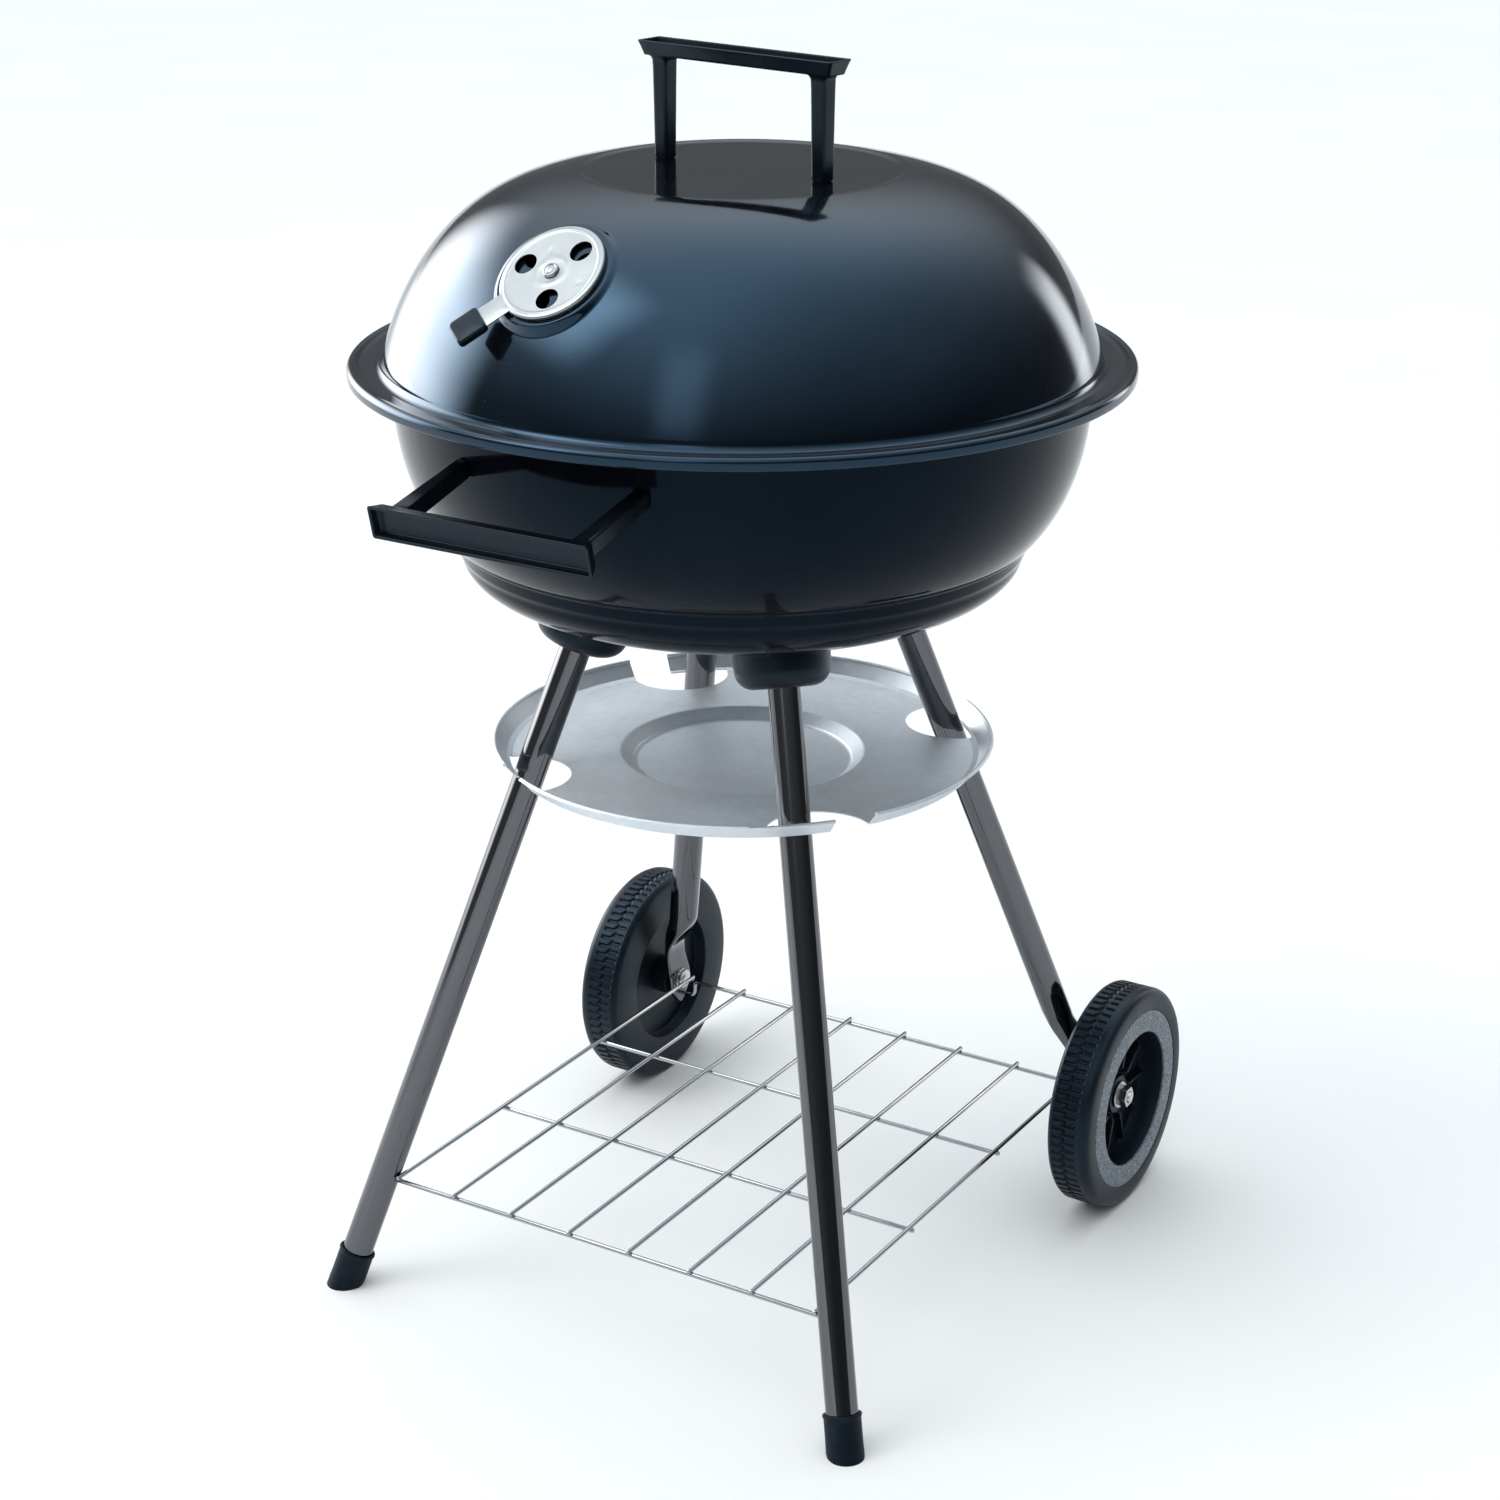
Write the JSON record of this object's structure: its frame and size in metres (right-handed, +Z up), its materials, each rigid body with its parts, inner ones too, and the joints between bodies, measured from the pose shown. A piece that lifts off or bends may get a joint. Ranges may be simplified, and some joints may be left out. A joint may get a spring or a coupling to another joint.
{
  "type": "kettle charcoal grill",
  "caption": "Round kettle charcoal grill: domed lid with vent and handle on a bowl, splayed tube legs, rear wheels, wire shelf and ash catcher.",
  "frame": {"origin": "middle of the footprint's bounding box, on the ground", "axes": "+X to the right across the grill, -Y to the front where the bowl's handle is, +Y to the wheels at the rear, +Z up"},
  "size_m": [0.456, 0.509, 0.7546],
  "materials": {
    "enamel": "gloss",
    "handle_plastic": "satin",
    "socket_plastic": "satin",
    "fastener": "satin",
    "damper_metal": "satin",
    "leg_metal": "satin",
    "zinc": "satin",
    "bracket_steel": "satin",
    "grate_plating": "gloss",
    "grate_steel": "satin",
    "rubber": "matte",
    "shelf_wire": "gloss",
    "wheel_plastic": "matte",
    "wheel_trim": "matte"
  },
  "bodies": {
    "kettle": {"bowl_shell": "enamel", "bowl_handle": "handle_plastic", "bowl_handle_screws": "fastener", "bowl_vent_rivet": "damper_metal", "grate_brackets": "bracket_steel", "leg_socket_front_left": "socket_plastic", "leg_socket_front_right": "socket_plastic", "leg_socket_rear_left": "socket_plastic", "leg_socket_rear_right": "socket_plastic", "socket_bolts": "fastener", "front_leg_left": "leg_metal", "front_leg_right": "leg_metal", "rear_leg_left": "leg_metal", "rear_leg_right": "leg_metal", "foot_cap_left": "rubber", "foot_cap_right": "rubber", "ash_catcher": "zinc", "wire_shelf": "shelf_wire", "axle_bolt_left": "fastener", "axle_bolt_right": "fastener", "axle_washers": "fastener", "axle_nuts": "fastener"},
    "lid": {"lid_shell": "enamel", "lid_handle": "handle_plastic", "lid_handle_screws": "fastener", "lid_vent_rivet": "damper_metal"},
    "lid_vent": {"lid_vent_damper": "damper_metal", "lid_vent_grip": "handle_plastic"},
    "bowl_vent": {"bowl_vent_damper": "zinc"},
    "cooking_grate": {"cooking_grate": "grate_plating"},
    "charcoal_grate": {"charcoal_grate": "grate_steel"},
    "left_wheel": {"wheel_left": "wheel_plastic", "wheel_trim_left": "wheel_trim"},
    "right_wheel": {"wheel_right": "wheel_plastic", "wheel_trim_right": "wheel_trim"}
  },
  "joints": [
    {"name": "lid_lift", "type": "slide", "parent": "kettle", "child": "lid", "axis": [0, 0, 1], "range_m": [0, 0.25]},
    {"name": "lid_vent_turn", "type": "hinge", "parent": "lid", "child": "lid_vent", "pos_m": [-0.01543, -0.15726, 0.65658], "axis": [-0.0609, -0.6569, 0.7515], "range_deg": [-20, 40]},
    {"name": "bowl_vent_turn", "type": "hinge", "parent": "kettle", "child": "bowl_vent", "pos_m": [0, 0.00902, 0.4379], "axis": [0, 0, 1], "range_deg": [-20, 40]},
    {"name": "cooking_grate_lift", "type": "slide", "parent": "kettle", "child": "cooking_grate", "axis": [0, 0, 1], "range_m": [0, 0.025]},
    {"name": "charcoal_grate_lift", "type": "slide", "parent": "kettle", "child": "charcoal_grate", "axis": [0, 0, 1], "range_m": [0, 0.05]},
    {"name": "left_wheel_spin", "type": "hinge", "parent": "kettle", "child": "left_wheel", "pos_m": [-0.1766, 0.18102, 0.0735], "axis": [1, 0, 0], "continuous": true},
    {"name": "right_wheel_spin", "type": "hinge", "parent": "kettle", "child": "right_wheel", "pos_m": [0.1766, 0.18102, 0.0735], "axis": [1, 0, 0], "continuous": true}
  ]
}
